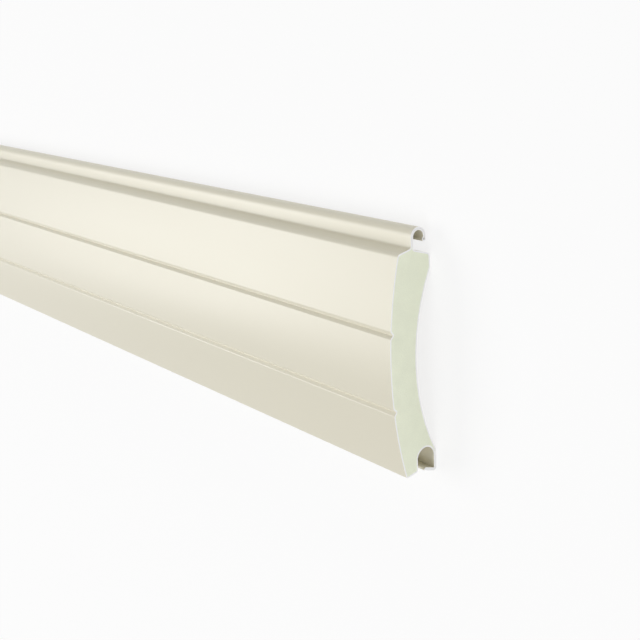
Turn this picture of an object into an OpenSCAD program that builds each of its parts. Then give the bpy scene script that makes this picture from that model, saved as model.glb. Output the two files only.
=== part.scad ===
// Foam-filled roller shutter slat: one coated aluminium strip, roll-formed into a closed cell with a
// hook along its top edge and a channel along its bottom edge, around a core of rigid foam.
// The slat lies on its back: X runs along its length, Y from the channel to the hook, and Z up through
// the front face. In the section, a place is [height, depth]: height is measured from the seat, where
// the slat stands on the one below, and depth from the back plane, which is the floor here.

/* [Slat] */
// Cut length of the slat
slat_length = 1000; // [300:50:3000]
// Height that one slat covers in a closed curtain
cover_height = 77; // [70:0.5:90]
// Depth from the back plane to the crown of the front face
slat_depth = 18.5; // [17:0.25:21]
// Thickness of the coated aluminium strip
strip_t = 0.5; // [0.4:0.02:0.6]
// Hairline between two layers of folded strip
fold_gap = 0.05; // [0.03:0.01:0.1]

/* [Front face] */
// Depth of the front face at its two long edges
front_edge = 13.5; // [12.5:0.25:15]
// Slope of the front shoulder, and of the skirt that covers it, in degrees
front_slope = 11; // [4:1:18]
// Distance between the two grooves
groove_spacing = 26.5; // [20:0.5:32]
// Drop of the pair of grooves below the middle of the face
groove_drop = 0.5; // [0:0.1:2]
// Depth of a groove
groove_depth = 1; // [0.5:0.05:1.2]
// Slope of a groove's flanks against the face, in degrees
groove_flank = 40; // [30:1:50]
// Outside radius at the lips of a groove
groove_lip_r = 0.7; // [0.65:0.05:1.2]
// Radius at the root of a groove
groove_root_r = 0.2; // [0.1:0.05:0.5]

/* [Back face] */
// Depth of the hollow in the back
back_hollow = 7.3; // [5:0.1:8.5]
// Length of the flat land below the back shoulder
back_land = 4.8; // [3.5:0.1:7]
// Slope of the back shoulder, and of the channel's lip above it, in degrees
back_slope = 18; // [10:1:22]
// Drop of the back shoulder below the front one, which lets slats tilt as they roll up
back_relief = 0.6; // [0.2:0.1:1.2]

/* [Hook] */
// Inside radius of the curl
hook_r = 2.15; // [1.6:0.05:2.3]
// Height of the curl's centre above the shoulder
hook_rise = 3.2; // [2.9:0.1:4.5]
// Length of the hook's lip, from the centre of the curl to the centre of the fold at its tip
hook_lip = 1.2; // [1.2:0.05:1.6]
// Radius of the eye inside the fold at the tip
eye_r = 0.25; // [0.15:0.01:0.3]

/* [Channel] */
// Clearance around a hook in the channel
link_gap = 0.45; // [0.3:0.05:0.7]
// Extra height in the channel, above a seated hook
link_headroom = 0.8; // [0.2:0.1:1]
// Gap between the channel's lip and the web of a seated hook
lip_gap = 1.3; // [0.5:0.1:1.4]
// Height of the back wall above the channel's centre
wall_rise = 1.7; // [1.6:0.1:2.6]

/* [Bends] */
// Outside radius of the two shoulders
shoulder_r = 1.5; // [1:0.1:2]
// Radius in the two corners at the foot of the web
web_foot_r = 0.9; // [0.6:0.05:1.2]
// Outside radius of the skirt's toe
toe_r = 0.8; // [0.65:0.05:1.2]
// Outside radius of the skirt's heel, beside the slot
heel_r = 0.9; // [0.65:0.05:1.2]
// Radius where the hollow of the back meets its flats
land_r = 2; // [1:0.1:3]
// Inside radius of the tightest bends: at the channel's lip and where the hook's fold closes
tight_r = 0.12; // [0.08:0.01:0.15]

/* [Hidden] */
// Most that a facet of a bend departs from its true arc
arc_sag = 0.005;
// Points of an outline that are nearer than this count as one
short_edge = 0.01;
// Straight run between the arc of the face and a groove's lip
lip_flat = 0.1;
skin_colour = [0.93, 0.92, 0.86];
foam_colour = [0.85, 0.86, 0.78];

// Depths of the hook and the channel, which share one axis
double_t = 2 * strip_t + fold_gap;
curl_r = hook_r + double_t;
channel_r = curl_r + link_gap;
link_depth = double_t + channel_r;
web_front = link_depth + curl_r;
web_back = link_depth + hook_r;
web_mid = (web_front + web_back) / 2;
hook_back = link_depth - curl_r;
slot_wall = link_depth + channel_r;
lip_end = web_back - lip_gap;

// Heights of the hook and the channel
hook_centre = cover_height + hook_rise;
tip_centre = hook_centre - hook_lip;
tip_r = strip_t + eye_r;
channel_centre = hook_rise + link_headroom;
channel_top = channel_centre + channel_r;
wall_top = channel_centre + wall_rise;

// The fold at the tip is wider than two layers, so the inner layer steps in by two equal bends
bend_r = strip_t + tight_r;
neck_step = 2 * tip_r - double_t;
neck_span = 4 * bend_r - neck_step;
neck_run = bend_r * (hook_lip - sqrt(hook_lip ^ 2 - neck_step * neck_span)) / neck_span;

// The seat falls away from the web on both sides, and the shoulders repeat it one cover height up
function skirt_height(depth) = (web_mid - depth) * tan(front_slope);
function lip_height(depth) = (depth - web_mid) * tan(back_slope);
function lip_top(depth) = lip_height(depth) + double_t / cos(back_slope);
function front_shoulder(depth) = cover_height + skirt_height(depth);
function back_shoulder(depth) = cover_height - back_relief + lip_height(depth);

// An arched face rises to its crown between two corners, with a straight run beside each corner
function arch_tilt(half, crown, run) = 2 * atan(crown / (half + run));
function arch_radius(half, tilt, run) = (half / cos(tilt) - run) / tan(tilt);

face_half = cover_height / 2;
face_mid = skirt_height(front_edge) + face_half;
face_run = max(shoulder_r * tan(45 - front_slope / 2), toe_r * tan(45 + front_slope / 2));
face_tilt = arch_tilt(face_half, slat_depth - front_edge, face_run);
face_r = arch_radius(face_half, face_tilt, face_run);
face_centre = [face_mid, slat_depth - face_r];

land_low = back_shoulder(0) - back_land;
back_half = (land_low - wall_top) / 2;
back_run = land_r * back_hollow / back_half;
back_tilt = arch_tilt(back_half, back_hollow, back_run);
back_r = arch_radius(back_half, back_tilt, back_run);

// A groove is a vee with a round root, and its lips roll into the face
groove_low = asin((-groove_spacing / 2 - groove_drop) / face_r);
groove_high = asin((groove_spacing / 2 - groove_drop) / face_r);
vee_depth = groove_depth + groove_root_r * (1 / cos(groove_flank) - 1);
lip_run = groove_lip_r * tan(groove_flank / 2) + lip_flat;
groove_reach = (vee_depth / tan(groove_flank) + lip_run) / face_r * 180 / PI;

// Places on and near the front face, by the angle from its crown
function face_normal(angle) = [sin(angle), cos(angle)];
function face_tangent(angle) = [cos(angle), -sin(angle)];
function face_point(angle, out = 0) = face_centre + (face_r + out) * face_normal(angle);
// Where the tangents at the two ends of a stretch of the face meet
function face_pole(from, to) =
    face_centre + face_r / cos((to - from) / 2) * face_normal((from + to) / 2);
function face_stretch(from, to) = concat(face_pole(from, to), face_r);
function groove(angle) = [
    concat(face_point(angle - groove_reach) + lip_run * face_tangent(angle - groove_reach), groove_lip_r),
    concat(face_point(angle, -vee_depth), groove_root_r),
    concat(face_point(angle + groove_reach) - lip_run * face_tangent(angle + groove_reach), groove_lip_r)
];

// The painted face of the strip, from edge to edge, as corners [height, depth, bend radius]
lip_upper = [
    [lip_height(lip_end), lip_end, 0],
    [lip_top(lip_end), lip_end, bend_r],
    [lip_top(double_t), double_t, tight_r]
];
channel = [
    [channel_top, double_t, channel_r],
    [channel_top, slot_wall, channel_r]
];
skirt = [
    [skirt_height(slot_wall), slot_wall, heel_r],
    [skirt_height(front_edge), front_edge, toe_r]
];
face = concat(
    [face_stretch(-face_tilt, groove_low - groove_reach)],
    groove(groove_low),
    [face_stretch(groove_low + groove_reach, groove_high - groove_reach)],
    groove(groove_high),
    [face_stretch(groove_high + groove_reach, face_tilt)]
);
shoulder = [
    [front_shoulder(front_edge), front_edge, shoulder_r],
    [front_shoulder(web_front), web_front, web_foot_r]
];
hook = [
    [hook_centre + curl_r, web_front, curl_r],
    [hook_centre + curl_r, hook_back, curl_r],
    [tip_centre - tip_r, hook_back, tip_r],
    [tip_centre - tip_r, hook_back + 2 * tip_r, tip_r],
    [tip_centre + neck_run, hook_back + 2 * tip_r, bend_r],
    [hook_centre - neck_run, hook_back + double_t, bend_r],
    [hook_centre + hook_r, hook_back + double_t, hook_r],
    [hook_centre + hook_r, web_back, hook_r]
];
back = [
    [back_shoulder(web_back), web_back, web_foot_r],
    [back_shoulder(0), 0, shoulder_r],
    [land_low, 0, land_r],
    [(land_low + wall_top) / 2, back_half * tan(back_tilt), back_r],
    [wall_top, 0, land_r]
];
lip_lower = [
    [lip_height(0), 0, double_t + tight_r],
    [lip_height(lip_end - strip_t - fold_gap), lip_end - strip_t - fold_gap, 0]
];
strip = concat(lip_upper, channel, skirt, face, shoulder, hook, back, lip_lower);

function place(corner) = [corner[0], corner[1]];
function unit(v) = v / norm(v);
function right_of(v) = [v[1], -v[0]];
function heading(path, i) = unit(place(path[i + 1]) - place(path[i]));

// The strip's inner face, on the right of its painted face. Bends keep their centres.
function inner_corner(path, i) =
    let (
        last = len(path) - 1,
        before = heading(path, max(i - 1, 0)),
        after = heading(path, min(i, last - 1)),
        n1 = right_of(before),
        n2 = right_of(after),
        to_left = cross(before, after) > 0,
        r = path[i][2]
    )
    concat(
        place(path[i]) + strip_t * (n1 + n2) / (1 + n1 * n2),
        r == 0 ? 0 : max(0, to_left ? r + strip_t : r - strip_t)
    );

// The points along the bend at one corner
function bend(path, i) =
    let (corner = place(path[i]), r = path[i][2])
    r == 0 ? [corner] :
    let (
        back_along = -heading(path, i - 1),
        ahead = heading(path, i),
        half = acos(back_along * ahead) / 2,
        centre = corner + r / sin(half) * unit(back_along + ahead),
        start = corner + r / tan(half) * back_along - centre,
        turn = (180 - 2 * half) * sign(cross(-back_along, ahead)),
        steps = max(2, ceil(abs(turn) / (2 * acos(1 - arc_sag / max(r, 2 * arc_sag)))))
    )
    [for (k = [0:steps]) let (a = turn * k / steps)
        centre + [start[0] * cos(a) - start[1] * sin(a), start[0] * sin(a) + start[1] * cos(a)]];

function all_bends(path) = [for (i = [0:len(path) - 1]) bend(path, i)];
// One list of points, with one point where two bends meet without a straight run between them
function joined(lists) =
    let (points = [for (list = lists) each list])
    [for (i = [0:len(points) - 1]) if (i == 0 || norm(points[i] - points[i - 1]) > short_edge) points[i]];
function reversed(list) = [for (i = [len(list) - 1:-1:0]) list[i]];

inner_strip = [for (i = [0:len(strip) - 1]) inner_corner(strip, i)];
painted_bends = all_bends(strip);
inner_bends = all_bends(inner_strip);
strip_outline = concat(joined(painted_bends), reversed(joined(inner_bends)));

// The foam fills the cell, from the channel round the front face to the web and down the back
cell_first = len(lip_upper);
hook_first = cell_first + len(channel) + len(skirt) + len(face) + len(shoulder);
back_first = hook_first + len(hook);
foam_outline = joined([
    for (i = [cell_first:hook_first - 1]) inner_bends[i],
    for (i = [back_first:back_first + len(back) - 1]) inner_bends[i]
]);

heights = [for (p = strip_outline) p[0]];
mid_height = (min(heights) + max(heights)) / 2;

// Carries a section along the length of the slat, centred over the origin
module along_length() {
    rotate([90, 0, 90])
        linear_extrude(height = slat_length, center = true)
            translate([-mid_height, 0])
                children();
}

module aluminium_skin() {
    color(skin_colour)
        along_length() polygon(strip_outline);
}

module foam_core() {
    color(foam_colour)
        along_length() polygon(foam_outline);
}

aluminium_skin();
foam_core();
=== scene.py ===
# %% [markdown]
# # A foam-filled roller shutter slat
# One slat of a roller door: a painted aluminium strip, half a millimetre thick, roll-formed into a
# closed cell around rigid foam. A hook along its top edge hangs in the channel of the next slat. It
# could be drawn as a painted block, but the saw cut at its end shows every fold of the strip, so strip
# and foam are made here as their own sections and carried along the length. The CAD model comes first:
# its box is the size that the looks keep.

import bpy
import numpy as np
from mathutils import Matrix, Vector


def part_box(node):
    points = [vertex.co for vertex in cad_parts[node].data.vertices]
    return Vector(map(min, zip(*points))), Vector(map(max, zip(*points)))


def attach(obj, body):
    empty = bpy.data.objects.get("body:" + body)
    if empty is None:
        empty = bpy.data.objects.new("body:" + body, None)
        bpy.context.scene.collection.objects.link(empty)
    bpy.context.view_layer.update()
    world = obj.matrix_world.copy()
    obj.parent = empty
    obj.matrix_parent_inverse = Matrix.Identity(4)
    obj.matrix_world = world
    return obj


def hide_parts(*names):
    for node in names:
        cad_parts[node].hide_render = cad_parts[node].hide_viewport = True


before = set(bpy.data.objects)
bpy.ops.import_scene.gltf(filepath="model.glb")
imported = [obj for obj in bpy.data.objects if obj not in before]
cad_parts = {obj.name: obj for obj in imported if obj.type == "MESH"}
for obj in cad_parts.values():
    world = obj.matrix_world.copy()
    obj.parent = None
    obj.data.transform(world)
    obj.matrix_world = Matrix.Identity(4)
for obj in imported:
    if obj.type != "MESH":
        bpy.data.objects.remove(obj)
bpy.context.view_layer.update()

skin_low, skin_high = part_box("aluminium_skin")

# %% [markdown]
# ## Sizes of the section
# A slat of this class covers 77 mm of the door and is 18.5 mm deep. All sizes are in millimetres and
# carry the names that the part's source gives them, so that a reader can set the two side by side.
# Heights are measured from the seat, where the slat stands on the one below, and depths from the back
# plane, which is the floor here.

# %% Sizes of the cell and its faces
cover_height = 77.0
slat_depth = 18.5
strip_t = 0.5
fold_gap = 0.05
front_edge = 13.5
front_slope = np.radians(11)
groove_spacing = 26.5
groove_drop = 0.5
groove_depth = 1.0
groove_flank = np.radians(40)
back_hollow = 7.3
back_land = 4.8
back_slope = np.radians(18)
back_relief = 0.6
print(f"cell: {cover_height} mm cover height, {slat_depth} mm deep, strip {strip_t} mm")

# %% Sizes of the hook, the channel and the bends
hook_r = 2.15
hook_rise = 3.2
hook_lip = 1.2
eye_r = 0.25
link_gap = 0.45
link_headroom = 0.8
lip_gap = 1.3
wall_rise = 1.7
groove_lip_r = 0.7
groove_root_r = 0.2
shoulder_r = 1.5
web_foot_r = 0.9
toe_r = 0.8
heel_r = 0.9
land_r = 2.0
tight_r = 0.12
lip_flat = 0.1
print(f"hook: {2 * hook_r:.1f} mm across inside, tightest bend {tight_r} mm inside")

# %% [markdown]
# ## Where the hook and the channel lie
# The hook is the strip folded double, so its outside radius is its inside radius plus two layers and
# the hairline between them. The channel is the hook plus a clearance, on the same axis, so that slats
# hang in one plane. Working these out from each other, instead of reading each off a picture, is what
# makes two slats fit.

# %% Depths and heights
double_t = 2 * strip_t + fold_gap
curl_r = hook_r + double_t
channel_r = curl_r + link_gap
link_depth = double_t + channel_r
web_front = link_depth + curl_r
web_back = link_depth + hook_r
web_mid = (web_front + web_back) / 2
hook_back = link_depth - curl_r
slot_wall = link_depth + channel_r
lip_end = web_back - lip_gap

hook_centre = cover_height + hook_rise
tip_centre = hook_centre - hook_lip
tip_r = strip_t + eye_r
channel_centre = hook_rise + link_headroom
channel_top = channel_centre + channel_r
wall_top = channel_centre + wall_rise
print(f"hook {2 * curl_r:.2f} mm across in a channel {2 * channel_r:.2f} mm wide")
print(f"slot {slot_wall - lip_end:.2f} mm wide")

# %% The neck of the hook's tip
# The fold at the tip is wider than two layers, so the inner layer steps in by two equal bends.
bend_r = strip_t + tight_r
neck_step = 2 * tip_r - double_t
neck_span = 4 * bend_r - neck_step
neck_run = bend_r * (hook_lip - np.sqrt(hook_lip**2 - neck_step * neck_span)) / neck_span
print(f"neck steps in by {neck_step:.2f} mm")


# %% Heights along the sloped edges
def skirt_height(depth):
    """Foot of the front face: it falls from the web at the front slope."""
    return (web_mid - depth) * np.tan(front_slope)


def lip_height(depth):
    """Underside of the channel's lip: it falls from the web at the back slope."""
    return (depth - web_mid) * np.tan(back_slope)


def lip_top(depth):
    """Upper side of the lip: two layers above its underside, square to it."""
    return lip_height(depth) + double_t / np.cos(back_slope)


def front_shoulder(depth):
    """The skirt's line again, one cover height up."""
    return cover_height + skirt_height(depth)


def back_shoulder(depth):
    """The lip's line, one cover height up, less the relief that lets slats tilt as they roll up."""
    return cover_height - back_relief + lip_height(depth)


print(f"skirt's toe {-skirt_height(front_edge):.2f} mm below the seat")
print(f"lip's heel {-lip_height(0):.2f} mm below the seat")

# %% [markdown]
# ## The arched front and the hollow back
# The front face is a shallow arch, which makes thin strip stiff, and two rolled grooves break it into
# three bands. The back is hollow, so that slats nest as they wind round the shaft. A spline could
# follow both, but each is a plain arc with a short straight run beside its corners, as the rollers
# leave it.


# %% Arches
def arch(half, crown, run):
    """Tilt at the ends and radius of an arc that rises by crown over half its chord, with straight runs
    beside it: tilt = 2 atan(crown / (half + run)), radius = (half / cos tilt - run) / tan tilt."""
    tilt = 2 * np.arctan(crown / (half + run))
    return tilt, (half / np.cos(tilt) - run) / np.tan(tilt)


def bend_run(radius, corner_tilt):
    """Straight run that a bend takes up beside a corner which turns by a right angle plus this tilt:
    radius tan(45 degrees + tilt / 2)."""
    return radius * np.tan(np.pi / 4 + corner_tilt / 2)


face_half = cover_height / 2
face_run = max(bend_run(shoulder_r, -front_slope), bend_run(toe_r, front_slope))
face_tilt, face_r = arch(face_half, slat_depth - front_edge, face_run)
face_centre = np.array([skirt_height(front_edge) + face_half, slat_depth - face_r])

land_low = back_shoulder(0) - back_land
back_half = (land_low - wall_top) / 2
back_tilt, back_r = arch(back_half, back_hollow, land_r * back_hollow / back_half)
print(f"front arc {face_r:.1f} mm radius, back arc {back_r:.1f} mm radius")

# %% Sizes of a groove
vee_depth = groove_depth + groove_root_r * (1 / np.cos(groove_flank) - 1)
lip_run = groove_lip_r * np.tan(groove_flank / 2) + lip_flat
groove_reach = (vee_depth / np.tan(groove_flank) + lip_run) / face_r
groove_low, groove_high = np.arcsin((np.array([-0.5, 0.5]) * groove_spacing - groove_drop) / face_r)
print(f"groove {2 * groove_reach * face_r:.1f} mm wide over its lips")


# %% Places on the front face
def on_face(angle, out=0.0):
    """The point at this angle from the crown, moved out along the normal:
    centre + (radius + out) (sin, cos)."""
    return face_centre + (face_r + out) * np.array([np.sin(angle), np.cos(angle)])


def along_face(angle):
    """The direction up the face at this angle: (cos, -sin)."""
    return np.array([np.cos(angle), -np.sin(angle)])


def stretch(start, end):
    """One arc of the face as a corner: its tangents meet at radius / cos(half its angle)."""
    return [*on_face((start + end) / 2, face_r / np.cos((end - start) / 2) - face_r), face_r]


def groove(angle):
    """A vee with a round root, whose lips roll into the face: three corners."""
    low, high = angle - groove_reach, angle + groove_reach
    return [
        [*(on_face(low) + lip_run * along_face(low)), groove_lip_r],
        [*on_face(angle, -vee_depth), groove_root_r],
        [*(on_face(high) - lip_run * along_face(high)), groove_lip_r],
    ]


print("grooves at heights", [round(float(on_face(a)[0]), 1) for a in (groove_low, groove_high)])

# %% [markdown]
# ## The folded strip as a list of corners
# A row of rollers bends the flat strip a little more at each stand, so its section is straight runs
# joined by round bends. It could be traced as a curve, but a list of corners, each with its height, its
# depth and its bend radius, is how the tooling for such a strip is laid out. The list follows the
# painted face from one slit edge to the other.

# %% Corners of the lip, the channel and the front
lip_upper = [
    [lip_height(lip_end), lip_end, 0],
    [lip_top(lip_end), lip_end, bend_r],
    [lip_top(double_t), double_t, tight_r],
]
channel = [[channel_top, double_t, channel_r], [channel_top, slot_wall, channel_r]]
skirt = [[skirt_height(slot_wall), slot_wall, heel_r], [skirt_height(front_edge), front_edge, toe_r]]
face = [
    stretch(-face_tilt, groove_low - groove_reach),
    *groove(groove_low),
    stretch(groove_low + groove_reach, groove_high - groove_reach),
    *groove(groove_high),
    stretch(groove_high + groove_reach, face_tilt),
]
shoulder = [
    [front_shoulder(front_edge), front_edge, shoulder_r],
    [front_shoulder(web_front), web_front, web_foot_r],
]
front_corners = lip_upper + channel + skirt + face + shoulder
print(len(front_corners), "corners up to the web")

# %% Corners of the hook and the back
hook = [
    [hook_centre + curl_r, web_front, curl_r],
    [hook_centre + curl_r, hook_back, curl_r],
    [tip_centre - tip_r, hook_back, tip_r],
    [tip_centre - tip_r, hook_back + 2 * tip_r, tip_r],
    [tip_centre + neck_run, hook_back + 2 * tip_r, bend_r],
    [hook_centre - neck_run, hook_back + double_t, bend_r],
    [hook_centre + hook_r, hook_back + double_t, hook_r],
    [hook_centre + hook_r, web_back, hook_r],
]
back = [
    [back_shoulder(web_back), web_back, web_foot_r],
    [back_shoulder(0), 0, shoulder_r],
    [land_low, 0, land_r],
    [(land_low + wall_top) / 2, back_half * np.tan(back_tilt), back_r],
    [wall_top, 0, land_r],
]
under_lip = lip_end - strip_t - fold_gap
lip_lower = [[lip_height(0), 0, double_t + tight_r], [lip_height(under_lip), under_lip, 0]]
strip = np.array(front_corners + hook + back + lip_lower, float)
print(len(strip), "corners from edge to edge")

# %% Bend the strip
bend_steps = 12


def folded(corners, thickness):
    """The two faces of a strip, as matching points for each bend. The heading turns evenly through a bend,
    and the right-hand normal with it. The painted face is the bend's centre plus or minus the radius times
    that normal, plus in a left turn. The inner face is the painted one plus the thickness times the
    normal."""
    place, radius = corners[:, :2], corners[1:-1, 2]
    run = np.diff(place, axis=0)
    ahead = run / np.linalg.norm(run, axis=1, keepdims=True)
    came, goes = ahead[:-1], ahead[1:]
    turn = np.arctan2(came[:, 0] * goes[:, 1] - came[:, 1] * goes[:, 0], (came * goes).sum(axis=1))
    side = np.sign(turn) * radius
    start = place[1:-1] - (radius * np.tan(np.abs(turn) / 2))[:, None] * came
    centre = start - side[:, None] * np.stack([came[:, 1], -came[:, 0]], axis=1)
    through = np.linspace(0, 1, bend_steps + 1)
    heading = np.arctan2(came[:, 1], came[:, 0])[:, None] + turn[:, None] * through
    right = np.stack([np.sin(heading), -np.cos(heading)], axis=-1)
    painted = centre[:, None] + side[:, None, None] * right
    ends = place[[0, -1]]
    end_right = np.stack([ahead[[0, -1], 1], -ahead[[0, -1], 0]], axis=1)
    return painted, painted + thickness * right, ends, ends + thickness * end_right


painted_bends, inner_bends, painted_ends, inner_ends = folded(strip, strip_t)
print(painted_bends.shape[0], "bends of", painted_bends.shape[1], "points on each face")

# %% One line of points
same_place = 1e-4


def distinct(points):
    """Marks each point that isn't the same as the one before it, as where two bends meet with no straight
    run."""
    return np.r_[True, np.linalg.norm(np.diff(points, axis=0), axis=1) > same_place]


painted = np.vstack([painted_ends[:1], painted_bends.reshape(-1, 2), painted_ends[1:]])
inner = np.vstack([inner_ends[:1], inner_bends.reshape(-1, 2), inner_ends[1:]])
kept = distinct(painted)
painted, inner = painted[kept], inner[kept]
width = np.linalg.norm(np.diff((painted + inner) / 2, axis=0), axis=1).sum()
print(f"the flat strip is {width:.0f} mm wide")

# %% [markdown]
# ## Carrying a section along the length
# Rolled stock has one section all the way, so a surface with two parameters, the place along the length
# and the place round the section, says it all. Blender's curve bevel could do it too, but the grid
# gives matching points at both saw cuts, so that the cut strip closes with a neat row of quads. The
# section is moved so that its top meets the CAD model's box.

# %% Stations along the length
millimetre = 0.001
station_count = 41
stations = np.linspace(skin_low.x, skin_high.x, station_count)
section_top = painted[:, 0].max()


def in_frame(section):
    """Section points in the shared frame: Y is the height, with its top at the CAD model's, and Z is the
    depth."""
    height = skin_high.y + (section[:, 0] - section_top) * millimetre
    return np.stack([height, section[:, 1] * millimetre], axis=1)


def carried(section):
    """A closed section along X: point (i, j) is (station i, height j, depth j). A face joins neighbours in
    i and j."""
    count = len(section)
    points = np.empty((station_count, count, 3))
    points[..., 0] = stations[:, None]
    points[..., 1:] = section
    i, j = np.meshgrid(np.arange(station_count - 1), np.arange(count), indexing="ij")
    here, there, after = i * count, (i + 1) * count, (j + 1) % count
    sides = np.stack([here + j, there + j, there + after, here + after], axis=-1)
    return points.reshape(-1, 3), sides.reshape(-1, 4)


last_station = station_count - 1
print(f"{station_count} stations, one every {(stations[1] - stations[0]) / millimetre:.0f} mm")

# %% Put a piece into the scene
crisp_angle = np.radians(40)


def piece(name, points, faces, finishes, finish_of_face):
    """A smooth mesh with crisp cut edges, which stands for the CAD node of the same name."""
    mesh = bpy.data.meshes.new(name)
    mesh.from_pydata(points.tolist(), [], faces)
    mesh.polygons.foreach_set("material_index", np.asarray(finish_of_face, np.int32))
    for material in finishes:
        mesh.materials.append(material)
    mesh.shade_smooth()
    mesh.set_sharp_from_angle(angle=crisp_angle)
    mesh.update()
    made = bpy.data.objects.new(name + "_rolled", mesh)
    bpy.context.scene.collection.objects.link(made)
    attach(made, "root")
    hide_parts(name)
    print(made.name, len(mesh.polygons), "faces, valid:", not mesh.validate())


# %% [markdown]
# ## Finishes
# Three surfaces show: the painted strip, its bare edge where the saw went through, and the foam. Each
# is a plain Principled surface with detail at its own scale. Image textures would do, but patterns
# worked out from the place on the object need no files and stay sharp close up. Two effects are on more
# than one of them, so they are node groups.


# %% Helpers for nodes
def connect(tree, value, socket):
    """Links an output to a socket, or sets the socket to a plain value."""
    if isinstance(value, bpy.types.NodeSocket):
        tree.links.new(value, socket)
    else:
        socket.default_value = value


def add(tree, kind, **inputs):
    """A new node in the tree. Each named input is a value, or the output of another node, which is then
    linked."""
    node = tree.nodes.new(kind)
    for name, value in inputs.items():
        connect(tree, value, node.inputs[name.replace("_", " ")])
    return node


def reckon(tree, operation, *values):
    """The result of a Math node, such as DIVIDE or MULTIPLY, on these values."""
    node = tree.nodes.new("ShaderNodeMath")
    node.operation = operation
    for socket, value in zip(node.inputs, values):
        connect(tree, value, socket)
    return node.outputs[0]


def in_millimetres(tree, drawn_out=1.0):
    """The place on the object in millimetres, with X drawn out so many times."""
    place = add(tree, "ShaderNodeTexCoord").outputs["Object"]
    scale = (1 / (millimetre * drawn_out), 1 / millimetre, 1 / millimetre)
    return add(tree, "ShaderNodeMapping", Vector=place, Scale=scale).outputs["Vector"]


print("helpers for nodes ready")


# %% Helpers for node groups
def group(name, inputs, outputs):
    """An empty node group with named number sockets: (tree, its inputs, its outputs)."""
    tree = bpy.data.node_groups.new(name, "ShaderNodeTree")
    for socket, value in inputs.items():
        made = tree.interface.new_socket(socket, in_out="INPUT", socket_type="NodeSocketFloat")
        made.default_value = value
    for socket in outputs:
        tree.interface.new_socket(socket, in_out="OUTPUT", socket_type="NodeSocketFloat")
    return tree, tree.nodes.new("NodeGroupInput").outputs, tree.nodes.new("NodeGroupOutput").inputs


def place_group(tree, made, **values):
    """Places a node group with its own values: its outputs."""
    node = tree.nodes.new("ShaderNodeGroup")
    node.node_tree = made
    for socket, value in values.items():
        node.inputs[socket.replace("_", " ")].default_value = value
    return node.outputs


print("helpers for node groups ready")

# %% [markdown]
# ### Rolled grain
# Paint that went through the rollers has a faint grain along the strip, and foam that set while the
# strip ran on has one too. Noise drawn out along X gives it: a slow cloud for tone and gloss, and a
# fine speck for the feel of the surface. Sizes are in millimetres.

# %% Rolled grain
usual_sizes = {"Cloud Size": 20.0, "Speck Size": 1.0}
rolled_grain, into, out = group("rolled_grain", usual_sizes, ["Cloud", "Speck"])


def drawn_noise(size, drawn_out, detail):
    """Noise of this size in millimetres, with X drawn out so many times."""
    place = in_millimetres(rolled_grain, drawn_out)
    scale = reckon(rolled_grain, "DIVIDE", 1.0, size)
    noise = add(rolled_grain, "ShaderNodeTexNoise", Vector=place, Scale=scale, Detail=detail)
    return noise.outputs["Fac"]


connect(rolled_grain, drawn_noise(into["Cloud Size"], drawn_out=6.0, detail=3.0), out["Cloud"])
connect(rolled_grain, drawn_noise(into["Speck Size"], drawn_out=1.5, detail=2.0), out["Speck"])
print("group", rolled_grain.name, "gives", [s.name for s in out if s.name])

# %% [markdown]
# ### Saw marks
# The slat is cut to length on a circular saw, whose teeth leave shallow arcs across strip and foam
# alike. Rings about a far point below the section, bent a little by noise, are those arcs. They lie
# 0.4 mm apart, so they show only close up.

# %% Saw marks
blade_offset = (0.0, 160.0, 60.0)
mark_scale = 0.8
bend_detail = 2.0
bend_scale = 0.4
saw_marks, into, out = group("saw_marks", {"Wobble": 1.0}, ["Ridge"])
blade = add(saw_marks, "ShaderNodeMapping", Vector=in_millimetres(saw_marks), Location=blade_offset)
ridge = add(saw_marks, "ShaderNodeTexWave", Vector=blade.outputs["Vector"], Scale=mark_scale,
            Distortion=into["Wobble"], Detail=bend_detail, Detail_Scale=bend_scale)
ridge.wave_type = "RINGS"
ridge.rings_direction = "X"
connect(saw_marks, ridge.outputs["Fac"], out["Ridge"])
print("group", saw_marks.name, "gives", [s.name for s in out if s.name])


# %% Start a finish
def finish(name, **values):
    """A material with one Principled surface: (material, its node tree, the surface)."""
    material = bpy.data.materials.new(name)
    material.use_nodes = True
    tree = material.node_tree
    surface = tree.nodes["Principled BSDF"]
    for socket, value in values.items():
        surface.inputs[socket.replace("_", " ")].default_value = value
    return material, tree, surface


print("a finish is a Principled surface")

# %% Vary a finish
# A Mix node has sockets for every kind of value. These are the places of its colours and of its mixed
# colour.
mix_low, mix_high, mix_result = 6, 7, 2
middle_low, middle_high = 0.25, 0.75


def between(tree, fac, low, high):
    """A number that runs from low to high as fac runs over the middle half of its range."""
    node = add(tree, "ShaderNodeMapRange", Value=fac, From_Min=middle_low, From_Max=middle_high,
               To_Min=low, To_Max=high)
    return node.outputs[0]


def shade(tree, fac, low, high):
    """A colour between two colours."""
    mix = tree.nodes.new("ShaderNodeMix")
    mix.data_type = "RGBA"
    connect(tree, fac, mix.inputs[0])
    mix.inputs[mix_low].default_value = (*low, 1)
    mix.inputs[mix_high].default_value = (*high, 1)
    return mix.outputs[mix_result]


def bump(tree, height, distance):
    """A normal that follows a height from 0 to 1, which stands for this many metres."""
    return add(tree, "ShaderNodeBump", Strength=1.0, Distance=distance, Height=height).outputs["Normal"]


print("tone, gloss and relief can follow a pattern")

# %% [markdown]
# ### Cream paint
# Coil coating is a thin satin paint, baked on before the strip is rolled. Its colour is even to about
# one part in a hundred, its gloss changes slowly where the rollers pressed, and its skin has the fine
# waviness of baked paint.

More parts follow.
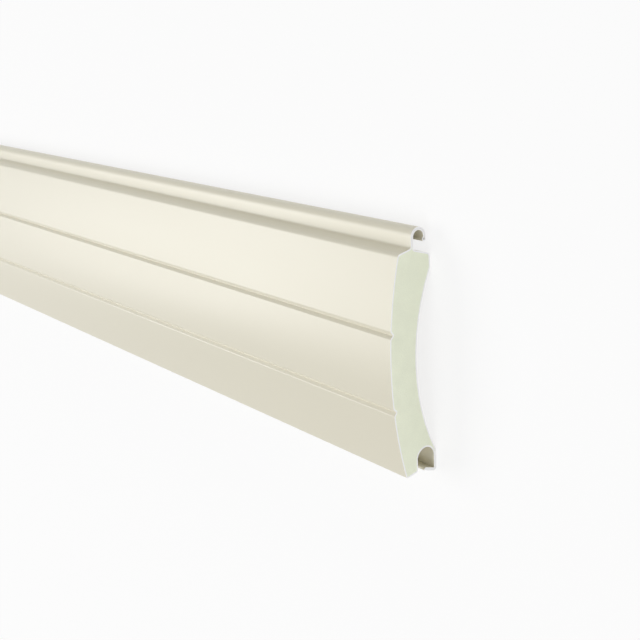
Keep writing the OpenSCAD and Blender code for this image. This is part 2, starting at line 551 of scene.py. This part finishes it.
# %% Cream paint
cream = np.array([0.772, 0.735, 0.597])
cream_spread = 0.015
paint_gloss = (0.30, 0.36)
paint_waviness = 1.5e-6
cream_paint, tree, surface = finish("cream_coil_coating", IOR=1.5)
grain = place_group(tree, rolled_grain, Cloud_Size=25.0, Speck_Size=0.7)
cream_tone = shade(tree, grain["Cloud"], cream * (1 - cream_spread), cream * (1 + cream_spread))
connect(tree, cream_tone, surface.inputs["Base Color"])
connect(tree, between(tree, grain["Cloud"], *paint_gloss), surface.inputs["Roughness"])
connect(tree, bump(tree, grain["Speck"], paint_waviness), surface.inputs["Normal"])
print("cream paint", cream)

# %% [markdown]
# ### Bare edge
# Where the saw and the slitting knives went through, the strip is bare aluminium, pale and finely
# scored. A metal surface whose tone and relief follow the saw marks gives it.

# %% Bare edge
score_tone = (0.8, 0.803, 0.807)
metal_tone = (0.845, 0.845, 0.845)
edge_gloss = (0.3, 0.4)
score_depth = 1.5e-6
bare_edge, tree, surface = finish("bare_aluminium_edge", Metallic=1.0)
marks = place_group(tree, saw_marks, Wobble=5.0)
grain = place_group(tree, rolled_grain, Cloud_Size=3.0, Speck_Size=0.2)
connect(tree, shade(tree, marks["Ridge"], score_tone, metal_tone), surface.inputs["Base Color"])
connect(tree, between(tree, grain["Cloud"], *edge_gloss), surface.inputs["Roughness"])
connect(tree, bump(tree, marks["Ridge"], score_depth), surface.inputs["Normal"])
print("bare edge", metal_tone)

# %% [markdown]
# ### Rigid foam
# The core is a fine-celled foam, pale and a little green. Cut through, it shows a mass of tiny open
# cells, so a Voronoi pattern a quarter of a millimetre across dents the surface, under the same saw
# marks. Its colour is darker in the pits and lighter on the cell walls: painted shade and light that
# follow the dents.

# %% Rigid foam
pale_foam = np.array([0.76, 0.79, 0.64])
foam_spread = 0.05
cells_per_mm = 4.0
pit_shade = (0.7, 1.3)
foam_gloss = (0.8, 0.95)
mark_share = 0.3
foam_relief = 5e-5
rigid_foam, tree, surface = finish("rigid_foam_core", Specular_IOR_Level=0.2)
voronoi = add(tree, "ShaderNodeTexVoronoi", Vector=in_millimetres(tree), Scale=cells_per_mm)
cells = voronoi.outputs["Distance"]
grain = place_group(tree, rolled_grain, Cloud_Size=6.0, Speck_Size=0.5)
marks = place_group(tree, saw_marks, Wobble=6.0)
# Painted shade: the colour darkens in each cell's pit and lightens on its walls, following the same dents
# that the bump makes, on top of the grain's random tone.
tone = reckon(tree, "MULTIPLY", grain["Cloud"], between(tree, cells, *pit_shade))
foam_tone = shade(tree, tone, pale_foam * (1 - foam_spread), pale_foam * (1 + foam_spread))
relief = reckon(tree, "MULTIPLY_ADD", marks["Ridge"], mark_share, cells)
connect(tree, foam_tone, surface.inputs["Base Color"])
connect(tree, between(tree, grain["Speck"], *foam_gloss), surface.inputs["Roughness"])
connect(tree, bump(tree, relief, foam_relief), surface.inputs["Normal"])
print("rigid foam", pale_foam)

# %% [markdown]
# ## The painted strip
# The section runs up the painted face and back down the inner one, so the carried surface is a closed
# ribbon. At each saw cut, a row of quads joins the two faces. The cuts and the two slit edges are bare
# metal, the rest is paint.

# %% Aluminium skin
ribbon = in_frame(np.vstack([painted, inner[::-1]]))
points, sides = carried(ribbon)
count = len(painted)
j = np.arange(count - 1)
left_cut = np.stack([j, j + 1, 2 * count - 2 - j, 2 * count - 1 - j], axis=1)
right_cut = left_cut[:, ::-1] + last_station * 2 * count
round_section = np.tile(np.arange(2 * count), last_station)
slit = np.isin(round_section, [count - 1, 2 * count - 1])
faces = np.vstack([sides, left_cut, right_cut]).tolist()
bare = np.r_[slit, np.ones(2 * (count - 1), bool)]
piece("aluminium_skin", points, faces, [cream_paint, bare_edge], bare)

# %% [markdown]
# ## The foam core
# Foam is injected as a liquid and fills the cell to the strip's inner face, so its outline is cut out
# of the inner bends that are already there: from the channel round the front to the web, and down the
# back. Each cut end is flat, so one face with many corners closes it.

# %% Foam core
first, last = len(lip_upper) - 1, len(front_corners) - 1
back_first = last + len(hook)
cell = np.vstack([inner_bends[first:last].reshape(-1, 2),
                  inner_bends[back_first:back_first + len(back)].reshape(-1, 2)])
cell = in_frame(cell[distinct(cell)])
points, sides = carried(cell)
loop = np.arange(len(cell))
ends = [loop.tolist(), (loop[::-1] + last_station * len(cell)).tolist()]
faces = sides.tolist() + ends
piece("foam_core", points, faces, [rigid_foam], np.zeros(len(faces)))

# %% [markdown]
# ## Floor and light
# The slat lies on its back on a plain pale floor, and the camera looks down on it. Soft lamps and an
# even sky light it at a level where a colour comes out about as it is written. The floor is white to
# the camera and in reflections, by its Light Path. Near the slat a fifth of its own shade stays, so
# that the slat's shadow shows. Farther off it turns fully white, so that there is no horizon.


# %% Rays that see the background
def seen_directly(tree):
    """One for rays from the camera, mirrors and glass, and zero for the rays that light other things."""
    rays = tree.nodes.new("ShaderNodeLightPath").outputs
    either = reckon(tree, "MAXIMUM", rays["Is Camera Ray"], rays["Is Glossy Ray"])
    return reckon(tree, "MAXIMUM", either, rays["Is Transmission Ray"])


print("camera, mirrors and glass see a white background")

# %% Floor
# The floor lies a hair under the slat's back, so that the two don't share a plane.
floor_half = 12.0
floor_drop = 0.0002
floor_sides = np.array([[-1, -1, 0], [1, -1, 0], [1, 1, 0], [-1, 1, 0]])
floor_corners = floor_half * floor_sides - [0, 0, floor_drop]
floor_mesh = bpy.data.meshes.new("floor")
floor_mesh.from_pydata(floor_corners.tolist(), [], [(0, 1, 2, 3)])
floor = bpy.data.objects.new("floor", floor_mesh)
bpy.context.scene.collection.objects.link(floor)
print("floor", floor.dimensions[:])

# %% White of the floor
floor_colour = (0.97, 0.97, 0.97, 1)
white = (1, 1, 1, 1)
shadow_reach, white_reach = 0.7, 2.0
white_share = 0.8
floor_white, tree, surface = finish("white_floor", Base_Color=floor_colour, Roughness=0.9)
from_slat = add(tree, "ShaderNodeVectorMath")
from_slat.operation = "LENGTH"
connect(tree, add(tree, "ShaderNodeTexCoord").outputs["Object"], from_slat.inputs[0])
whiter = add(tree, "ShaderNodeMapRange", Value=from_slat.outputs["Value"], From_Min=shadow_reach,
             From_Max=white_reach, To_Min=white_share)
whiter.interpolation_type = "SMOOTHSTEP"
glow = add(tree, "ShaderNodeEmission", Color=white, Strength=1.0)
both = tree.nodes.new("ShaderNodeMixShader")
share = reckon(tree, "MULTIPLY", seen_directly(tree), whiter.outputs[0])
for value, socket in zip([share, surface.outputs[0], glow.outputs[0]], both.inputs):
    connect(tree, value, socket)
connect(tree, both.outputs[0], tree.nodes["Material Output"].inputs["Surface"])
floor_mesh.materials.append(floor_white)
print(f"floor {white_share:.0%} plain white near the slat, all white from {white_reach} m")

# %% Sky
sky_light, sky_seen = 0.255, 1.0
sky = bpy.data.worlds.new("even_sky")
sky.use_nodes = True
bpy.context.scene.world = sky
tree = sky.node_tree
background = tree.nodes["Background"].inputs
sky_level = add(tree, "ShaderNodeMapRange", Value=seen_directly(tree), To_Min=sky_light, To_Max=sky_seen)
connect(tree, sky_level.outputs[0], background["Strength"])
connect(tree, white, background["Color"])
print("even sky of level", sky_light)


# %% Lamps
def soft_lamp(name, place, target, size, level):
    """A flat lamp aimed at a point, with a width and a height. A matte white card at the target, square to
    it, would reflect this level: power = level pi^2 distance^2."""
    lamp = bpy.data.lights.new(name, "AREA")
    lamp.shape = "RECTANGLE"
    lamp.size, lamp.size_y = size
    reach = Vector(target) - Vector(place)
    lamp.energy = level * np.pi**2 * reach.length_squared
    holder = bpy.data.objects.new(name, lamp)
    holder.matrix_world = Matrix.Translation(place) @ reach.to_track_quat("-Z", "Y").to_matrix().to_4x4()
    bpy.context.scene.collection.objects.link(holder)
    print(f"{name}: level {level}, {reach.length:.1f} m away")


soft_lamp("front_lamp", place=(0.9, -1.2, 1.8), target=(0.4, 0.0, 0.0), size=(1.2, 1.2), level=0.25)
soft_lamp("sheen_lamp", place=(-2.7, 0.05, 2.7), target=(0.2, 0.0, 0.0), size=(2.5, 2.2), level=0.53)
soft_lamp("hook_lamp", place=(0.3, 3.0, 0.5), target=(0.3, 0.0, 0.0), size=(2.0, 0.8), level=0.115)
soft_lamp("end_lamp", place=(3.0, -0.1, 0.7), target=(0.5, 0.0, 0.0), size=(1.5, 1.5), level=0.43)

# %% [markdown]
# ## Camera
# The picture was taken from beyond the near end, looking back along the front face with the hook side
# up. The place, the direction and the lens follow from where the long edges meet and from the known
# height of the cut end.

# %% Camera
stand = (0.76718, 0.12069, 0.24251)
ahead = np.array([-0.7708, -0.2874, -0.5685])
right = np.array([0.6066, -0.0588, -0.7928])
right -= ahead * (right @ ahead) / (ahead @ ahead)
right, ahead = right / np.linalg.norm(right), ahead / np.linalg.norm(ahead)
turned = Matrix(np.stack([right, np.cross(right, ahead), -ahead], axis=1).tolist())
lens = bpy.data.cameras.new("camera")
lens.sensor_width = 36.0
lens.lens = 64.4
lens.clip_start = 0.01
camera = bpy.data.objects.new("camera", lens)
camera.matrix_world = Matrix.Translation(stand) @ turned.to_4x4()
bpy.context.scene.collection.objects.link(camera)
bpy.context.scene.camera = camera
bpy.context.scene.view_settings.view_transform = "Standard"
print("camera at", tuple(round(v, 4) for v in camera.matrix_world.translation))
